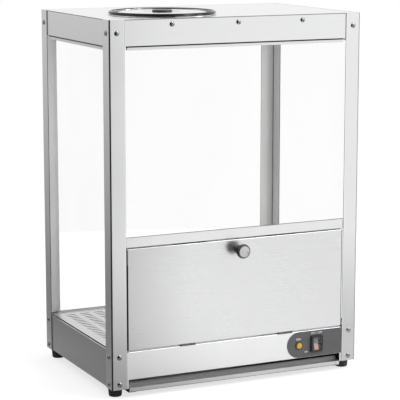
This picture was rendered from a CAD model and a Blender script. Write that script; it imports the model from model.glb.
"""The chip warmer's finishes and its turned and printed pieces, section by section as it is built."""

import bmesh
import bpy
import numpy as np
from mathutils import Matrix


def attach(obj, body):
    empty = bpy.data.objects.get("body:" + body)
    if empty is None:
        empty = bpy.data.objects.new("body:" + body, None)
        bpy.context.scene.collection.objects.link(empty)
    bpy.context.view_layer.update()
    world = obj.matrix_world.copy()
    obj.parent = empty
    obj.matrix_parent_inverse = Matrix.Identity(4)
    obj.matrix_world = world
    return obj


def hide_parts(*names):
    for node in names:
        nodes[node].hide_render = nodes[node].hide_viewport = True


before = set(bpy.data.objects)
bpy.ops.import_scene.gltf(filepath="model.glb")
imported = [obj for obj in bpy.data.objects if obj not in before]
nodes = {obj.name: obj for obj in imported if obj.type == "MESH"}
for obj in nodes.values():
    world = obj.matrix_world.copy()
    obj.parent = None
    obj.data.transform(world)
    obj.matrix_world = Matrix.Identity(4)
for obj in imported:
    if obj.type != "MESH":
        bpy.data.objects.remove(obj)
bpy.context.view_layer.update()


# ---------------------------------------------------------------- side panels of the base
# Folded stainless sheet with the grain running level, cut from brushed stock. Fine scratches,
# wider soft streaks and a few faint handling marks break up the shine.
def shader(name, colour, metallic=0.0, roughness=0.5, **sockets):
    """A material with one Principled surface; returns it with its node tree and that shader."""
    material = bpy.data.materials.new(name)
    material.use_nodes = True
    tree = material.node_tree
    surface = tree.nodes["Principled BSDF"]
    surface.inputs["Base Color"].default_value = (*colour, 1)
    surface.inputs["Metallic"].default_value = metallic
    surface.inputs["Roughness"].default_value = roughness
    for socket, value in sockets.items():
        surface.inputs[socket.replace("_", " ")].default_value = value
    return material, tree, surface


def noise(tree, scale, stretch=(1, 1, 1), detail=3.0, vector=None):
    """Noise on the piece's own coordinates, drawn out along the axes that have a small stretch."""
    mapping = tree.nodes.new("ShaderNodeMapping")
    mapping.inputs["Scale"].default_value = stretch
    texture = tree.nodes.new("ShaderNodeTexNoise")
    texture.inputs["Scale"].default_value = scale
    texture.inputs["Detail"].default_value = detail
    if vector is None:
        vector = tree.nodes.new("ShaderNodeTexCoord").outputs["Object"]
    tree.links.new(vector, mapping.inputs["Vector"])
    tree.links.new(mapping.outputs["Vector"], texture.inputs["Vector"])
    return texture.outputs["Fac"]


def spread(tree, factor, low, high, start=0.3, stop=0.7):
    """Turns a factor that runs from start to stop into a value that runs from low to high."""
    node = tree.nodes.new("ShaderNodeMapRange")
    node.inputs["From Min"].default_value = start
    node.inputs["From Max"].default_value = stop
    node.inputs["To Min"].default_value = low
    node.inputs["To Max"].default_value = high
    tree.links.new(factor, node.inputs["Value"])
    return node.outputs["Result"]


def sums(tree, operation, first, second=None):
    """One step of arithmetic; each of the two may be a socket or a number."""
    node = tree.nodes.new("ShaderNodeMath")
    node.operation = operation
    for socket, value in zip(node.inputs, (first, second)):
        if isinstance(value, (int, float)):
            socket.default_value = value
        elif value is not None:
            tree.links.new(value, socket)
    return node.outputs[0]


def tint(tree, factor, first, second):
    """Mixes two colours by a factor between 0 and 1; each may be a socket or a colour."""
    node = tree.nodes.new("ShaderNodeMix")
    node.data_type = "RGBA"
    for socket, value in ((node.inputs[6], first), (node.inputs[7], second)):
        if isinstance(value, tuple):
            socket.default_value = (*value, 1)
        else:
            tree.links.new(value, socket)
    tree.links.new(factor, node.inputs[0])
    return node.outputs[2]


def relief(tree, surface, height, strength, distance):
    """Bumps the surface by a height in metres."""
    node = tree.nodes.new("ShaderNodeBump")
    node.inputs["Strength"].default_value = strength
    node.inputs["Distance"].default_value = distance
    tree.links.new(height, node.inputs["Height"])
    tree.links.new(node.outputs["Normal"], surface.inputs["Normal"])


def brushed_steel(name, grain, light=0.72, roughness=0.3):
    """Brushed stainless sheet. Returns the material, its tree, its shader and its colour socket."""
    pale = (light, light * 1.003, light * 1.008)
    dull = tuple(0.985 * c for c in pale)
    material, tree, surface = shader(name, pale, metallic=1.0, roughness=roughness)
    scratches = noise(tree, 1400.0, grain, detail=2.0)
    streaks = noise(tree, 420.0, grain, detail=4.0)
    marks = noise(tree, 9.0, detail=5.0)
    colour = tint(tree, spread(tree, streaks, 0, 1), pale, dull)
    tree.links.new(colour, surface.inputs["Base Color"])
    gloss = spread(tree, scratches, roughness - 0.02, roughness + 0.02)
    gloss = sums(tree, "ADD", gloss, spread(tree, marks, -0.015, 0.025))
    tree.links.new(gloss, surface.inputs["Roughness"])
    relief(tree, surface, scratches, 0.02, 0.00003)
    return material, tree, surface, colour


def finish_node(material, *names):
    """Gives CAD nodes one finish."""
    for name in names:
        nodes[name].data.materials.clear()
        nodes[name].data.materials.append(material)


level_grain = (0.01, 0.01, 1.0)
kick_steel = brushed_steel("kick_steel", level_grain, light=0.68)[0]
finish_node(kick_steel, "kick_panel_left", "kick_panel_right")

# ---------------------------------------------------------------- front and rear panels of the base
# Folded from the same stainless sheet and held by the posts' lower screws. The front one carries the
# controls, the rear one the mains inlet.
panel_steel = brushed_steel("panel_steel", level_grain, light=0.89)[0]
finish_node(panel_steel, "base_panel_front", "base_panel_rear")


# ---------------------------------------------------------------- corner posts
# Four angles folded from sheet and brushed along their length, dull white from the mill inside. The
# outside of the fold and the cut edges are dark, and the rims beside those edges are rubbed bright.
half_width = 0.2575
half_depth = 0.175
middle_y = 0.0128
post_flange = 0.03
cut_edge = 0.0003
rubbed_rim = 0.0016
outer_skin = 0.0009
fold_turn = 0.0022


def above(tree, value, level, blur, most=1.0):
    """A mask that rises from 0 to its most as a value passes a level, over the width of the blur."""
    return spread(tree, value, 0, most, level - blur / 2, level + blur / 2)


def below(tree, value, level, blur, most=1.0):
    """A mask that falls from its most to 0 as a value passes a level, over the width of the blur."""
    return spread(tree, value, most, 0, level - blur / 2, level + blur / 2)


def places(tree, centre=(0.0, 0.0, 0.0)):
    """X, Y and Z on the piece, from a centre, as three sockets."""
    mapping = tree.nodes.new("ShaderNodeMapping")
    mapping.inputs["Location"].default_value = tuple(-c for c in centre)
    split = tree.nodes.new("ShaderNodeSeparateXYZ")
    tree.links.new(tree.nodes.new("ShaderNodeTexCoord").outputs["Object"], mapping.inputs["Vector"])
    tree.links.new(mapping.outputs["Vector"], split.inputs["Vector"])
    return split.outputs


def darkened(tree, surface, colour, mask, shade):
    """Multiplies a colour by a shade where a mask is 1, and feeds it to the surface."""
    node = tree.nodes.new("ShaderNodeMix")
    node.data_type = "RGBA"
    node.blend_type = "MULTIPLY"
    node.inputs[7].default_value = (shade, shade, shade, 1)
    tree.links.new(mask, node.inputs[0])
    tree.links.new(colour, node.inputs[6])
    tree.links.new(node.outputs[2], surface.inputs["Base Color"])
    return node.outputs[2]


upright_grain = (1.0, 1.0, 0.01)
post_steel, tree, surface, colour = brushed_steel("post_steel", upright_grain, light=0.85)
x, y, z = places(tree, (0, middle_y, 0))
across, along = sums(tree, "ABSOLUTE", x), sums(tree, "ABSOLUTE", y)
free_x, free_y = half_width - post_flange, half_depth - post_flange
rubbed_x = below(tree, across, free_x + rubbed_rim, 0.0004)
rubbed_y = below(tree, along, free_y + rubbed_rim, 0.0004)
colour = tint(tree, sums(tree, "MAXIMUM", rubbed_x, rubbed_y), colour, (0.98, 0.98, 0.98))
inner_x = below(tree, across, half_width - outer_skin, 0.0002)
inner_y = below(tree, along, half_depth - outer_skin, 0.0002)
mill_side = sums(tree, "MULTIPLY", inner_x, inner_y)
colour = tint(tree, mill_side, colour, (0.93, 0.93, 0.92))
tree.links.new(spread(tree, mill_side, 1.0, 0.1, 0, 1), surface.inputs["Metallic"])
fold_x = above(tree, across, half_width - fold_turn, 0.0008)
fold_y = above(tree, along, half_depth - fold_turn, 0.0008)
colour = darkened(tree, surface, colour, sums(tree, "MULTIPLY", fold_x, fold_y), 0.10)
edge_x = below(tree, across, free_x + cut_edge, 0.0002)
edge_y = below(tree, along, free_y + cut_edge, 0.0002)
colour = darkened(tree, surface, colour, sums(tree, "MAXIMUM", edge_x, edge_y), 0.08)
low_front = sums(tree, "MULTIPLY", fold_y, below(tree, z, 0.18, 0.20))
darkened(tree, surface, colour, low_front, 0.70)
finish_node(post_steel, "post_front_left", "post_front_right", "post_rear_left", "post_rear_right")

# ---------------------------------------------------------------- headers
# Four bars folded from sheet with the grain running level, screwed on behind the posts' flanges. Their
# top edge is sheared and shows as a dark line.
post_top = 0.697
header_steel, tree, surface, colour = brushed_steel("header_steel", level_grain, light=0.86)
z = places(tree)[2]
darkened(tree, surface, colour, above(tree, z, post_top - 0.0013, 0.0006), 0.25)
finish_node(header_steel, "header_front", "header_rear", "header_left", "header_right")

# ---------------------------------------------------------------- window sill
# The folded rail that the front pane's lower channel stands behind, and that the door shuts against.
# It is of the same brushed sheet as the headers, a little duller along its lower fold.
sill_low = 0.282
sill_steel, tree, surface, colour = brushed_steel("sill_steel", level_grain, light=0.85)
z = places(tree)[2]
darkened(tree, surface, colour, below(tree, z, sill_low + 0.0009, 0.0006), 0.80)
finish_node(sill_steel, "window_sill")

# ---------------------------------------------------------------- screws and nuts
# Truss-head machine screws, nickel plated, whose domes mirror the dark and the bright side of a
# room, and zinc plated hexagon nuts.
screw_nickel, tree, surface = shader("screw_nickel", (0.34, 0.34, 0.34), metallic=1.0, roughness=0.12)
wear = noise(tree, 650.0, detail=4.0)
tree.links.new(tint(tree, spread(tree, wear, 0, 1, 0.35, 0.7), (0.36, 0.36, 0.36), (0.26, 0.26, 0.265)),
               surface.inputs["Base Color"])
tree.links.new(spread(tree, wear, 0.08, 0.18), surface.inputs["Roughness"])
relief(tree, surface, wear, 0.05, 0.00002)
finish_node(screw_nickel, "post_screws", "header_screws")

zinc, tree, surface = shader("zinc_plate", (0.55, 0.56, 0.57), metallic=1.0, roughness=0.32)
bloom = noise(tree, 320.0, detail=5.0)
tree.links.new(tint(tree, spread(tree, bloom, 0, 1), (0.60, 0.60, 0.60), (0.42, 0.44, 0.47)),
               surface.inputs["Base Color"])
tree.links.new(spread(tree, bloom, 0.25, 0.42), surface.inputs["Roughness"])
finish_node(zinc, "nuts", "foot_screws", "fan_screws", "door_knob_screw")

# ---------------------------------------------------------------- feet
# Moulded rubber, black and matt, with a fine pebbled skin and a little dust near the floor.
rubber, tree, surface = shader("foot_rubber", (0.02, 0.02, 0.02), roughness=0.62)
pebble = noise(tree, 1100.0, detail=3.0)
dust = noise(tree, 90.0, detail=5.0)
dusty_height = 0.009
low_down = spread(tree, places(tree)[2], 1, 0, 0.0, dusty_height)
low_down = sums(tree, "MULTIPLY", low_down, spread(tree, dust, 0, 0.5))
tree.links.new(tint(tree, low_down, (0.016, 0.016, 0.016), (0.10, 0.095, 0.09)),
               surface.inputs["Base Color"])
tree.links.new(spread(tree, pebble, 0.5, 0.72), surface.inputs["Roughness"])
relief(tree, surface, pebble, 0.35, 0.00012)
finish_node(rubber, "foot_front_left", "foot_front_right", "foot_rear_left", "foot_rear_right")

# ---------------------------------------------------------------- panes and their channels
# Clear sheets in folded channels. Under the headers a black sealing strip shows as a dark line on
# the upper channels.
header_low = 0.6495
channel_steel, tree, surface, colour = brushed_steel("channel_steel", level_grain, light=0.80)
z = places(tree)[2]
darkened(tree, surface, colour, above(tree, z, header_low - 0.0026, 0.0004), 0.04)
finish_node(channel_steel, "top_glass_channels")
finish_node(brushed_steel("lower_channel_steel", level_grain, light=0.72)[0], "bottom_glass_channels")

pane, tree, surface = shader("clear_pane", (0.96, 0.98, 0.975), roughness=0.02, Alpha=0.02)
smear = noise(tree, 6.0, (1, 1, 0.6), detail=6.0)
tree.links.new(spread(tree, smear, 0.015, 0.07, 0.35, 0.75), surface.inputs["Roughness"])
tree.links.new(spread(tree, smear, 0.012, 0.035, 0.35, 0.75), surface.inputs["Alpha"])
finish_node(pane, "glass_front", "glass_rear", "glass_left", "glass_right")

# ---------------------------------------------------------------- top panel and loading collar
# A shallow folded pan let in between the headers, brushed from left to right, and the spun neck
# that the lid sits on.
finish_node(brushed_steel("top_steel", (0.01, 1.0, 1.0), light=0.92)[0], "top_panel")

lid_x, lid_y = -0.1012, -0.0432


def distance(tree, first, second):
    """How far a point is from an axis: the root of the sum of two squared coordinates."""
    squares = sums(tree, "MULTIPLY", first, first), sums(tree, "MULTIPLY", second, second)
    return sums(tree, "SQRT", sums(tree, "ADD", *squares))


def spun_steel(name, centre, light=0.8, roughness=0.12, ring_scale=2600.0):
    """Polished sheet with fine turning rings: noise over the distance from the spinning axis."""
    pale = (light, light, light * 1.01)
    material, tree, surface = shader(name, pale, metallic=1.0, roughness=roughness)
    x, y, z = places(tree, centre)
    join = tree.nodes.new("ShaderNodeCombineXYZ")
    out = distance(tree, x, y)
    tree.links.new(out, join.inputs[0])
    tree.links.new(z, join.inputs[2])
    rings = noise(tree, ring_scale, (1, 1, 0.4), detail=2.0, vector=join.outputs[0])
    marks = noise(tree, 40.0, detail=5.0)
    gloss = spread(tree, rings, roughness - 0.03, roughness + 0.04)
    gloss = sums(tree, "ADD", gloss, spread(tree, marks, -0.01, 0.03))
    tree.links.new(gloss, surface.inputs["Roughness"])
    colour = tint(tree, spread(tree, rings, 0, 1), pale, tuple(0.93 * c for c in pale))
    tree.links.new(colour, surface.inputs["Base Color"])
    relief(tree, surface, rings, 0.06, 0.00003)
    return material, tree, surface, colour, out


lid_centre = (lid_x, lid_y, 0)
finish_node(spun_steel("collar_steel", lid_centre, light=0.7, roughness=0.18)[0], "loading_collar")

# ---------------------------------------------------------------- lid
# Spun from one disc of stainless and polished: a rolled bead, a groove, a low plateau and a deep
# recess round the knob. A skirt under it keeps it on the collar.
seat = 0.6983
bead_radius = 0.0027
bead_circle = 0.0984
bead_z = seat + bead_radius
groove_z = seat + 0.0008
plateau_z = bead_z + 0.0005
recess_z = plateau_z - 0.0073
half_sheet = 0.0005


def softened(points, reach, steps=6):
    """Rounds a polyline's inner corners. Each gives way to the curve (1-t)^2 a + 2t(1-t) p + t^2 b,
    where p is the corner and a and b lie a reach before and after it."""
    points = np.asarray(points, float)
    before, corner, after = points[:-2], points[1:-1], points[2:]
    back = before - corner
    on = after - corner
    short = np.minimum(np.linalg.norm(back, axis=1), np.linalg.norm(on, axis=1))
    cut = np.minimum(np.broadcast_to(reach, short.shape), 0.48 * short)[:, None]
    a = corner + cut * back / np.linalg.norm(back, axis=1, keepdims=True)
    b = corner + cut * on / np.linalg.norm(on, axis=1, keepdims=True)
    t = np.linspace(0, 1, steps)[None, :, None]
    curve = (1 - t) ** 2 * a[:, None] + 2 * t * (1 - t) * corner[:, None] + t**2 * b[:, None]
    return np.vstack([points[:1], curve.reshape(-1, 2), points[-1:]])


def piece(name, points, faces, material, body, sharp=35):
    mesh = bpy.data.meshes.new(name)
    mesh.from_pydata(points.tolist(), [], faces)
    work = bmesh.new()
    work.from_mesh(mesh)
    bmesh.ops.recalc_face_normals(work, faces=work.faces)
    work.to_mesh(mesh)
    work.free()
    mesh.polygons.foreach_set("use_smooth", np.ones(len(mesh.polygons), bool))
    mesh.set_sharp_from_angle(angle=np.radians(sharp))
    mesh.materials.append(material)
    made = bpy.data.objects.new(name, mesh)
    bpy.context.scene.collection.objects.link(made)
    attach(made, body)
    return made


def turned(profile, segments=160):
    """Points and faces of a profile of (radius, height) turned about an axis. The profile runs from
    pole to pole; the point at angle a on a ring is (r cos a, r sin a, h)."""
    profile = np.asarray(profile, float)
    angle = np.linspace(0, 2 * np.pi, segments, endpoint=False)
    radius, height = profile[1:-1].T
    flat_x, flat_y = np.outer(radius, np.cos(angle)), np.outer(radius, np.sin(angle))
    rings = np.stack([flat_x, flat_y, np.outer(height, np.ones(segments))], axis=-1).reshape(-1, 3)
    poles = np.array([[0, 0, profile[0, 1]], [0, 0, profile[-1, 1]]])
    ring, step = np.meshgrid(np.arange(len(radius) - 1), np.arange(segments), indexing="ij")
    here, beside = ring * segments + step, ring * segments + (step + 1) % segments
    quads = np.stack([here, beside, beside + segments, here + segments], axis=-1).reshape(-1, 4)
    around = np.arange(segments)
    on = (around + 1) % segments
    last = (len(radius) - 1) * segments
    start = np.stack([np.full(segments, len(rings)), on, around], axis=1)
    stop = np.stack([last + around, last + on, np.full(segments, len(rings) + 1)], axis=1)
    return np.vstack([rings, poles]), quads.tolist() + start.tolist() + stop.tolist()


# The bead: most of a circle, from the angle where the groove reaches it round to the one under it.
bead_turn = np.radians(np.linspace(211.2, -117.3, 40))
bead_x = bead_circle + bead_radius * np.cos(bead_turn)
bead = np.stack([bead_x, bead_z + bead_radius * np.sin(bead_turn)], axis=1)
upper = softened(
    [
        (0, recess_z + half_sheet),
        (0.0305, recess_z + half_sheet),
        (0.0388, plateau_z + 0.0007 + half_sheet),
        (0.0800, plateau_z + half_sheet),
        (0.0870, groove_z + half_sheet),
        tuple(bead[0]),
    ],
    np.array([0.003, 0.003, 0.004, 0.003]),
)
under = softened(
    [
        tuple(bead[-1]),
        (0.0907, groove_z - half_sheet),
        (0.0907, groove_z - 0.0090),
        (0.0899, groove_z - 0.0090),
        (0.0899, groove_z - half_sheet),
        (0.0866, groove_z - half_sheet),
        (0.0796, plateau_z - half_sheet),
        (0.0392, plateau_z + 0.0007 - half_sheet),
        (0.0309, recess_z - half_sheet),
        (0, recess_z - half_sheet),
    ],
    np.array([0.001, 0.0003, 0.0003, 0.001, 0.003, 0.004, 0.003, 0.003]),
)
points, faces = turned(np.vstack([upper[:-1], bead, under[1:]]))
lid_steel, tree, surface, colour, out = spun_steel("lid_steel", lid_centre, light=0.84, roughness=0.1)
darkened(tree, surface, colour, above(tree, out, bead_circle - 0.0026, 0.0004), 0.06)
lid = piece("spun_lid", points + np.array([lid_x, lid_y, 0]), faces, lid_steel, "lid")
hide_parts("lid")

# ---------------------------------------------------------------- lid knob
# A low round knob of moulded black plastic that stands in the lid's recess. Its stem is narrower than
# its head, so that fingers get under the rim.
def moulded(name, colour, roughness=0.35, grain_scale=900.0):
    """Moulded plastic: a faint spark-eroded grain, a soft drift in gloss and dust in the hollows."""
    material, tree, surface = shader(name, colour, roughness=roughness)
    grain = noise(tree, grain_scale, detail=3.0)
    drift = noise(tree, 30.0, detail=4.0)
    lighter = tuple(c * 1.25 + 0.006 for c in colour)
    tree.links.new(tint(tree, spread(tree, drift, 0, 1), colour, lighter), surface.inputs["Base Color"])
    gloss = spread(tree, grain, roughness - 0.06, roughness + 0.06)
    gloss = sums(tree, "ADD", gloss, spread(tree, drift, -0.04, 0.04))
    tree.links.new(gloss, surface.inputs["Roughness"])
    relief(tree, surface, grain, 0.15, 0.00005)
    return material


black_plastic = moulded("black_plastic", (0.022, 0.022, 0.023))
knob_low, knob_high = recess_z + half_sheet, plateau_z + half_sheet + 0.004
head_radius, head_depth, stem_radius = 0.019, 0.0065, 0.007
profile = softened(
    [
        (0, knob_high),
        (0.0120, knob_high - 0.0001),
        (head_radius, knob_high - 0.0009),
        (head_radius, knob_high - head_depth),
        (stem_radius, knob_high - head_depth),
        (stem_radius, knob_low),
        (0, knob_low),
    ],
    np.array([0.003, 0.002, 0.002, 0.002, 0.0004]),
)
points, faces = turned(profile, 96)
points = points + np.array([lid_x, lid_y, 0])
lid_knob = piece("lid_knob_turned", points, faces, black_plastic, "lid")
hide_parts("lid_knob")

# ---------------------------------------------------------------- door
# A shallow pan folded from sheet, its lips turned in. Its rounded border is darker, as are the
# shadowed gaps round it.
front = -0.1622
door_half = 0.226
door_low, door_high = 0.089, 0.2802
door_steel, tree, surface, colour = brushed_steel("door_steel", level_grain, light=0.79, roughness=0.28)
x, y, z = places(tree)
across = sums(tree, "ABSOLUTE", x)
soft_left = below(tree, x, 0.065 - door_half, 0.13)
colour = tint(tree, soft_left, colour, (0.64, 0.64, 0.645))
top_edge = above(tree, z, door_high - 0.0013, 0.0006, most=0.25)
side_border = above(tree, across, door_half - 0.0021, 0.0006)
near_top, left_side = above(tree, z, door_high - 0.030, 0.002), below(tree, x, 0.005, 0.01)
spared = sums(tree, "MULTIPLY", sums(tree, "MULTIPLY", near_top, left_side), 0.6)
side_border = sums(tree, "MULTIPLY", side_border, sums(tree, "SUBTRACT", 1.0, spared))
behind = above(tree, y, front + 0.0014, 0.0004)
low_border = below(tree, z, door_low + 0.0009, 0.0006, most=0.5)
border = sums(tree, "MAXIMUM", sums(tree, "MAXIMUM", side_border, low_border), behind)
border = sums(tree, "MAXIMUM", border, top_edge)
darkened(tree, surface, colour, border, 0.12)
finish_node(door_steel, "door_panel")

# ---------------------------------------------------------------- door knob
# Turned from bar and plated: a flared base, a waisted neck, and a head with a dished, bright face
# inside a dark rim.
knob_z = door_high - 0.0192
knob_reach = 0.028
knob_dark, tree, surface = shader("knob_dark", (0.16, 0.16, 0.165), metallic=1.0, roughness=0.16)
x, y, z = places(tree, (0, 0, knob_z))
inside_rim = below(tree, distance(tree, x, z), 0.0103, 0.0006)
face = sums(tree, "MULTIPLY", inside_rim, below(tree, y, front - knob_reach + 0.0026, 0.0008))
polish = noise(tree, 500.0, detail=3.0)
bright = tint(tree, spread(tree, polish, 0, 1), (0.60, 0.60, 0.61), (0.52, 0.52, 0.53))
tree.links.new(tint(tree, face, (0.13, 0.13, 0.135), bright), surface.inputs["Base Color"])
tree.links.new(spread(tree, polish, 0.12, 0.22), surface.inputs["Roughness"])
profile = softened(
    [
        (0, 0.0),
        (0.0085, 0.0),
        (0.0085, 0.0015),
        (0.0062, 0.0040),
        (0.0055, 0.0090),
        (0.0062, 0.0125),
        (0.0085, 0.0155),
        (0.0122, 0.0178),
        (0.0140, 0.0215),
        (0.0136, 0.0250),
        (0.0124, 0.0268),
        (0.0112, knob_reach),
        (0.0096, knob_reach - 0.0003),
        (0.0050, knob_reach - 0.0013),
        (0, knob_reach - 0.0016),
    ],
    np.array([0.0004, 0.0006, *[0.002] * 6, 0.0015, 0.001, 0.0006, 0.0006, 0.002]),
)
points, faces = turned(profile, 96)
points = np.stack([points[:, 0], front - points[:, 2], knob_z + points[:, 1]], axis=1)
knob = piece("door_knob_turned", points, faces, knob_dark, "door")
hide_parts("door_knob")

# ---------------------------------------------------------------- hinges and magnets
# Two small steel butt hinges, dark and dull, folded shut in the gap under the door, and the two black
# magnetic strips under the sill that hold the door shut.
hinge_dark, tree, surface = shader("hinge_dark", (0.1, 0.1, 0.1), metallic=1.0, roughness=0.4)
soot = noise(tree, 500.0, detail=4.0)
tree.links.new(tint(tree, spread(tree, soot, 0, 1), (0.06, 0.06, 0.06), (0.16, 0.16, 0.16)),
               surface.inputs["Base Color"])
finish_node(hinge_dark, "hinge_pins", "frame_hinge_leaves", "door_hinge_leaves")
magnet, tree, surface = shader("magnet_black", (0.02, 0.02, 0.02), roughness=0.55)
dust = noise(tree, 260.0, detail=5.0)
tree.links.new(tint(tree, spread(tree, dust, 0, 1), (0.012, 0.012, 0.012), (0.04, 0.038, 0.036)),
               surface.inputs["Base Color"])
finish_node(magnet, "door_magnets")

# ---------------------------------------------------------------- deck
# The slotted floor that the chips lie on, with the grain across it and a thin bloom of oil, on two
# galvanised ledges.
deck_steel = brushed_steel("deck_steel", level_grain, light=0.70, roughness=0.34)[0]
finish_node(deck_steel, "chip_deck")


def galvanised(name, light=0.58):
    """Galvanised sheet: a spangle of flat zinc crystals, each its own grey and gloss."""
    material, tree, surface = shader(name, (light, light, light), metallic=1.0, roughness=0.42)
    cells = tree.nodes.new("ShaderNodeTexVoronoi")
    cells.inputs["Scale"].default_value = 130.0
    tree.links.new(tree.nodes.new("ShaderNodeTexCoord").outputs["Object"], cells.inputs["Vector"])
    level = tree.nodes.new("ShaderNodeSeparateColor")
    tree.links.new(cells.outputs["Color"], level.inputs[0])
    grey = level.outputs[0]
    pale, dull = (light * 1.08, light * 1.09, light * 1.11), (light * 0.82, light * 0.83, light * 0.85)
    tree.links.new(tint(tree, grey, pale, dull), surface.inputs["Base Color"])
    tree.links.new(spread(tree, grey, 0.34, 0.52, 0, 1), surface.inputs["Roughness"])
    return material


inner_steel = galvanised("galvanised_sheet")
finish_node(inner_steel, "deck_ledges")

# ---------------------------------------------------------------- crumb tray and its runners
# A folded stainless tray, with a low lip in front of its wall and a dark cut edge under it, that
# slides on two black coated runners.
tray_steel, tree, surface, colour = brushed_steel("tray_steel", level_grain, light=0.66, roughness=0.34)
x, y, z = places(tree)
tray_low = 0.0101
wall_middle = front + 0.0145
wall_face = sums(tree, "MULTIPLY", above(tree, y, wall_middle - 0.00075, 0.0005),
                 below(tree, y, wall_middle + 0.00075, 0.0005))
dulled = tint(tree, above(tree, z, 0.0215, 0.006), (0.62, 0.62, 0.62), (0.24, 0.24, 0.24))
colour = tint(tree, wall_face, colour, dulled)
tree.links.new(spread(tree, wall_face, 1.0, 0.25, 0, 1), surface.inputs["Metallic"])
darkened(tree, surface, colour, below(tree, z, tray_low + 0.0011, 0.0006), 0.45)
finish_node(tray_steel, "crumb_tray")

coat, tree, surface = shader("runner_coat", (0.03, 0.03, 0.032), roughness=0.42)
orange_peel = noise(tree, 800.0, detail=2.0)
rubbed = noise(tree, 200.0, (1, 0.02, 1), detail=4.0)
tree.links.new(tint(tree, spread(tree, rubbed, 0, 1, 0.55, 0.75), (0.028, 0.028, 0.03), (0.14, 0.14, 0.14)),
               surface.inputs["Base Color"])
tree.links.new(spread(tree, orange_peel, 0.36, 0.5), surface.inputs["Roughness"])
relief(tree, surface, orange_peel, 0.2, 0.00008)
finish_node(coat, "tray_runners")

# ---------------------------------------------------------------- control plate
# An aluminium plate with a dark grey printed face, slightly satin, its cut edge bare and paler. It lies
# on the base panel, and the lamp and the switch snap in through both.
plate_face = front + 0.0004
plate_grey, tree, surface = shader("plate_grey", (0.13, 0.132, 0.136), roughness=0.45)
grit = noise(tree, 1500.0, detail=2.0)
cloud = noise(tree, 25.0, detail=4.0)
printed = tint(tree, spread(tree, cloud, 0, 1), (0.084, 0.086, 0.090), (0.104, 0.105, 0.109))
printed = tint(tree, spread(tree, grit, 0, 0.35), printed, (0.145, 0.145, 0.150))
cut = above(tree, places(tree)[1], plate_face + 0.0003, 0.0001)
tree.links.new(tint(tree, cut, printed, (0.55, 0.55, 0.55)), surface.inputs["Base Color"])
tree.links.new(spread(tree, grit, 0.38, 0.52), surface.inputs["Roughness"])
relief(tree, surface, grit, 0.1, 0.00004)
finish_node(plate_grey, "control_plate")

# ---------------------------------------------------------------- captions
# White screen-printed words, a twentieth of a millimetre proud of the plate: ON over the lamp,
# ON / OFF over the switch, and OFF by its lower corner.
ink, tree, surface = shader("caption_ink", (0.8, 0.8, 0.78), roughness=0.5)
worn = noise(tree, 2500.0, detail=3.0)
tree.links.new(tint(tree, spread(tree, worn, 0, 1), (0.82, 0.82, 0.80), (0.62, 0.62, 0.61)),
               surface.inputs["Base Color"])
ink_height = 0.00003
captions = (
    ("caption_on", "ON", 0.0058, 0.1316, 0.0692),
    ("caption_on_off", "ON / OFF", 0.0054, 0.1718, 0.0784),
    ("caption_off", "OFF", 0.0038, 0.1488, 0.0432),
)
for name, words, size, at_x, at_z in captions:
    curve = bpy.data.curves.new(name + "_words", "FONT")
    curve.body = words
    curve.size = size
    curve.align_x = "CENTER"
    curve.extrude = ink_height
    curve.offset = 0.00016
    curve.space_character = 1.1
    holder = bpy.data.objects.new(name + "_words", curve)
    bpy.context.scene.collection.objects.link(holder)
    flat = bpy.data.meshes.new_from_object(holder.evaluated_get(bpy.context.evaluated_depsgraph_get()))
    bpy.data.objects.remove(holder)
    spots = np.empty(3 * len(flat.vertices))
    flat.vertices.foreach_get("co", spots)
    spots = spots.reshape(-1, 3)
    ink_back = plate_face - ink_height
    stood = np.stack([at_x + spots[:, 0], ink_back - spots[:, 2], at_z + spots[:, 1]], axis=1)
    flat.vertices.foreach_set("co", stood.ravel())
    flat.materials.clear()
    flat.materials.append(ink)
    caption = bpy.data.objects.new(name, flat)
    bpy.context.scene.collection.objects.link(caption)
    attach(caption, "cabinet")

# ---------------------------------------------------------------- rocker switch
# A black moulded frame and rocker, with a tinted window down the rocker's middle, grey above its
# pivot and pinkish below, and a clear soft cover over both.
finish_node(moulded("switch_black", (0.004, 0.004, 0.004), roughness=0.3), "switch_body")
switch_x, switch_z = 0.1711, 0.0587
window_x, window_half = switch_x - 0.0012, 0.0047
rocker_skin, tree, surface = shader("rocker_skin", (0.4, 0.3, 0.25), roughness=0.25)
x, y, z = places(tree, (0, 0, switch_z))
drift = noise(tree, 350.0, detail=4.0)
warm = tint(tree, spread(tree, drift, 0, 1), (0.78, 0.50, 0.38), (0.60, 0.36, 0.26))
grey = tint(tree, spread(tree, drift, 0, 1), (0.24, 0.29, 0.29), (0.16, 0.20, 0.20))
window = tint(tree, above(tree, z, 0.0, 0.003), warm, grey)
aside = sums(tree, "ABSOLUTE", sums(tree, "SUBTRACT", x, window_x))
tree.links.new(tint(tree, above(tree, aside, window_half, 0.0006), window, (0.004, 0.004, 0.004)),
               surface.inputs["Base Color"])
tree.links.new(spread(tree, drift, 0.18, 0.34), surface.inputs["Roughness"])
finish_node(rocker_skin, "switch_rocker")
cover, tree, surface = shader("clear_cover", (0.30, 0.31, 0.31), roughness=0.12, Alpha=0.06)
ripple = noise(tree, 160.0, detail=3.0)
tree.links.new(spread(tree, ripple, 0.03, 0.10), surface.inputs["Alpha"])
tree.links.new(spread(tree, ripple, 0.12, 0.28), surface.inputs["Roughness"])
relief(tree, surface, ripple, 0.3, 0.0002)
finish_node(cover, "switch_membrane")

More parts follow.
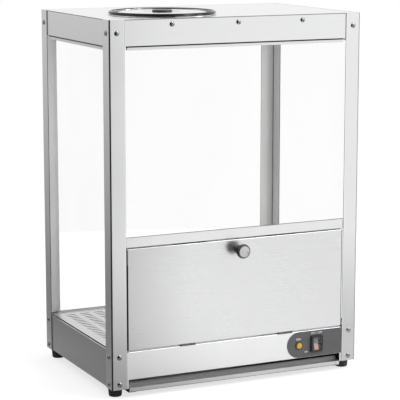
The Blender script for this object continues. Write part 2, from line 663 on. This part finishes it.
# ---------------------------------------------------------------- indicator lamp
# A dark brown moulded ring and an amber lens with concentric steps inside it, deeper in colour at its
# rim and over the bulb.
lamp_x, lamp_z = 0.1325, 0.0587
finish_node(moulded("lamp_brown", (0.075, 0.042, 0.016), roughness=0.3), "indicator_lamp")
lens_amber, tree, surface = shader("lens_amber", (0.85, 0.52, 0.08), roughness=0.18)
x, y, z = places(tree, (lamp_x, 0, lamp_z))
out = distance(tree, x, z)
swirl = noise(tree, 700.0, detail=3.0)
body_colour = tint(tree, spread(tree, swirl, 0, 1), (0.80, 0.50, 0.09), (0.72, 0.42, 0.06))
bulb = below(tree, out, 0.0015, 0.0014)
rim = above(tree, out, 0.0053, 0.0014)
body_colour = tint(tree, bulb, body_colour, (0.62, 0.33, 0.02))
tree.links.new(tint(tree, rim, body_colour, (0.30, 0.16, 0.02)), surface.inputs["Base Color"])
tree.links.new(spread(tree, swirl, 0.12, 0.26), surface.inputs["Roughness"])
# The lens: a half oval over the share s of its radius, less a cosine ripple of five rings inside 0.85.
share = np.linspace(0, 1, 40)
radius = 0.0064 * share
ripple_depth = 0.00012 * (1 - np.cos(10 * np.pi * share)) * (share < 0.85)
height = 0.0028 * np.sqrt(1 - share**2) - ripple_depth
profile = np.vstack([np.stack([radius, height], axis=1), [(0.0, 0.0)]])
points, faces = turned(profile, 72)
ring_face = plate_face - 0.0016
points = np.stack([lamp_x + points[:, 0], ring_face - points[:, 2], lamp_z + points[:, 1]], axis=1)
lens = piece("stepped_lens", points, faces, lens_amber, "cabinet")
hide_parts("indicator_lens")

# ---------------------------------------------------------------- electrics
# Under the deck: a folded galvanised trough and cover, the fan in its moulded frame with a wire
# guard, the sheathed heater on its rail, the thermostat, a nylon terminal block and the mains inlet.
finish_node(inner_steel, "electrics_box", "electrics_cover", "heater_rail", "thermostat")
finish_node(zinc, "fan_guard")
fan_black = moulded("fan_black", (0.018, 0.018, 0.019), roughness=0.4)
finish_node(fan_black, "fan_frame", "fan_rotor", "power_inlet")
sheath, tree, surface = shader("heater_sheath", (0.2, 0.19, 0.18), metallic=0.8, roughness=0.48)
heat = noise(tree, 35.0, detail=5.0)
scale = noise(tree, 700.0, detail=3.0)
hues = tint(tree, spread(tree, heat, 0, 1), (0.20, 0.185, 0.17), (0.15, 0.13, 0.16))
tree.links.new(tint(tree, spread(tree, scale, 0, 0.5), hues, (0.10, 0.09, 0.08)),
               surface.inputs["Base Color"])
tree.links.new(spread(tree, scale, 0.4, 0.58), surface.inputs["Roughness"])
relief(tree, surface, scale, 0.2, 0.00006)
finish_node(sheath, "heater_element")
finish_node(moulded("ivory_nylon", (0.70, 0.67, 0.57), roughness=0.42), "terminal_block")
finish_node(moulded("wire_cover", (0.42, 0.06, 0.05), roughness=0.36, grain_scale=1600.0), "wiring")

# ---------------------------------------------------------------- studio
# A white floor and surround, open and bright to the right. Behind the camera and to the left the
# room is dark, which draws dark lines along folds and rolled edges.
dark_side = (-0.72, -0.69, 0.0)
world = bpy.data.worlds.new("surround")
bpy.context.scene.world = world
world.use_nodes = True
tree = world.node_tree
backdrop = tree.nodes["Background"]
backdrop.inputs["Color"].default_value = (1, 1, 1, 1)
way = tree.nodes.new("ShaderNodeTexCoord").outputs["Generated"]


def facing(direction):
    """How far the room's direction agrees with another one, from -1 to 1."""
    node = tree.nodes.new("ShaderNodeVectorMath")
    node.operation = "DOT_PRODUCT"
    node.inputs[1].default_value = direction
    tree.links.new(way, node.inputs[0])
    return node.outputs["Value"]


room = spread(tree, facing((1, 0, 0)), 0.86, 0.94, -0.5, 0.25)
room = sums(tree, "MULTIPLY", room, spread(tree, facing(dark_side), 1.0, 0.30, 0.5, 0.85))
path = tree.nodes.new("ShaderNodeLightPath")
seen = sums(tree, "MAXIMUM", path.outputs["Is Camera Ray"], path.outputs["Is Transmission Ray"])
strength = tree.nodes.new("ShaderNodeMix")
tree.links.new(seen, strength.inputs[0])
tree.links.new(room, strength.inputs[2])
strength.inputs[3].default_value = 1.0
tree.links.new(strength.outputs[0], backdrop.inputs["Strength"])

floor_radius = 1.4
angle = np.linspace(0, 2 * np.pi, 96, endpoint=False)
edge = np.stack([floor_radius * np.cos(angle), floor_radius * np.sin(angle), 0 * angle], axis=1)
mesh = bpy.data.meshes.new("floor")
mesh.from_pydata(edge.tolist(), [], [list(range(len(edge)))])
floor = bpy.data.objects.new("floor", mesh)
bpy.context.scene.collection.objects.link(floor)
white, tree, surface = shader("floor_white", (0.8, 0.8, 0.8), roughness=1.0, Specular_IOR_Level=0.0)
surface.inputs["Emission Color"].default_value = (1, 1, 1, 1)
path = tree.nodes.new("ShaderNodeLightPath")
seen = sums(tree, "MAXIMUM", path.outputs["Is Camera Ray"], path.outputs["Is Transmission Ray"])
x = places(tree)[0]
right_part = above(tree, x, -0.18, 0.44)
right_part = sums(tree, "MULTIPLY", right_part, spread(tree, x, 1.0, 0.78, 0.25, 0.55))
glow = sums(tree, "MAXIMUM", sums(tree, "MULTIPLY", seen, 0.70), sums(tree, "MULTIPLY", right_part, 0.17))
tree.links.new(glow, surface.inputs["Emission Strength"])
paleness = tint(tree, right_part, (0.22, 0.22, 0.22), (0.8, 0.8, 0.8))
tree.links.new(tint(tree, seen, paleness, (0.42, 0.42, 0.42)), surface.inputs["Base Color"])
mesh.materials.append(white)


def card(name, left, right, low, high, dull, bright, dull_z, bright_z):
    """An upright card that only reflections show, from one floor point to another, glowing from dull
    at one height to bright at another."""
    corners = [(*left, low), (*right, low), (*right, high), (*left, high)]
    mesh = bpy.data.meshes.new(name)
    mesh.from_pydata(corners, [], [(0, 1, 2, 3)])
    made = bpy.data.objects.new(name, mesh)
    bpy.context.scene.collection.objects.link(made)
    material, tree, surface = shader(name, (0.0, 0.0, 0.0), roughness=1.0, Specular_IOR_Level=0.0)
    surface.inputs["Emission Color"].default_value = (1, 1, 1, 1)
    glow = spread(tree, places(tree)[2], dull, bright, dull_z, bright_z)
    tree.links.new(glow, surface.inputs["Emission Strength"])
    mesh.materials.append(material)
    for ray in ("camera", "diffuse", "transmission", "volume_scatter", "shadow"):
        setattr(made, "visible_" + ray, False)


card("front_card", (-1.1, -0.80), (-0.08, -0.80), low=0.0, high=1.2,
     dull=0.0, bright=0.0, dull_z=0.0, bright_z=1.0)
card("left_card", (-4.1, 2.55), (-0.1, 4.45), low=-2.5, high=3.0,
     dull=0.04, bright=0.69, dull_z=-1.15, bright_z=0.55)

lamp = bpy.data.lights.new("softbox", "AREA")
lamp.shape = "RECTANGLE"
lamp.size = 1.0
lamp.size_y = 1.0
lamp.energy = 26.0
softbox = bpy.data.objects.new("softbox", lamp)
softbox.location = (1.4, -1.6, 2.6)
softbox.rotation_euler = (np.radians(40), 0, np.radians(40))
bpy.context.scene.collection.objects.link(softbox)

lamp = bpy.data.lights.new("side_light", "AREA")
lamp.shape = "RECTANGLE"
lamp.size = 0.6
lamp.size_y = 0.6
lamp.energy = 9.0
side_light = bpy.data.objects.new("side_light", lamp)
side_light.location = (2.5, -1.4, 1.1)
side_light.rotation_euler = (np.radians(80), 0, np.radians(60))
bpy.context.scene.collection.objects.link(side_light)

optics = bpy.data.cameras.new("camera")
optics.sensor_width = 36.0
optics.lens = 150.3
optics.clip_end = 50.0
looking_down, turned_right = 9.99, 25.28
camera = bpy.data.objects.new("camera", optics)
camera.location = (-1.378, -2.9127, 0.8965)
camera.rotation_euler = (np.radians(90 - looking_down), 0, -np.radians(turned_right))
bpy.context.scene.collection.objects.link(camera)
bpy.context.scene.camera = camera
bpy.context.scene.view_settings.view_transform = "Standard"
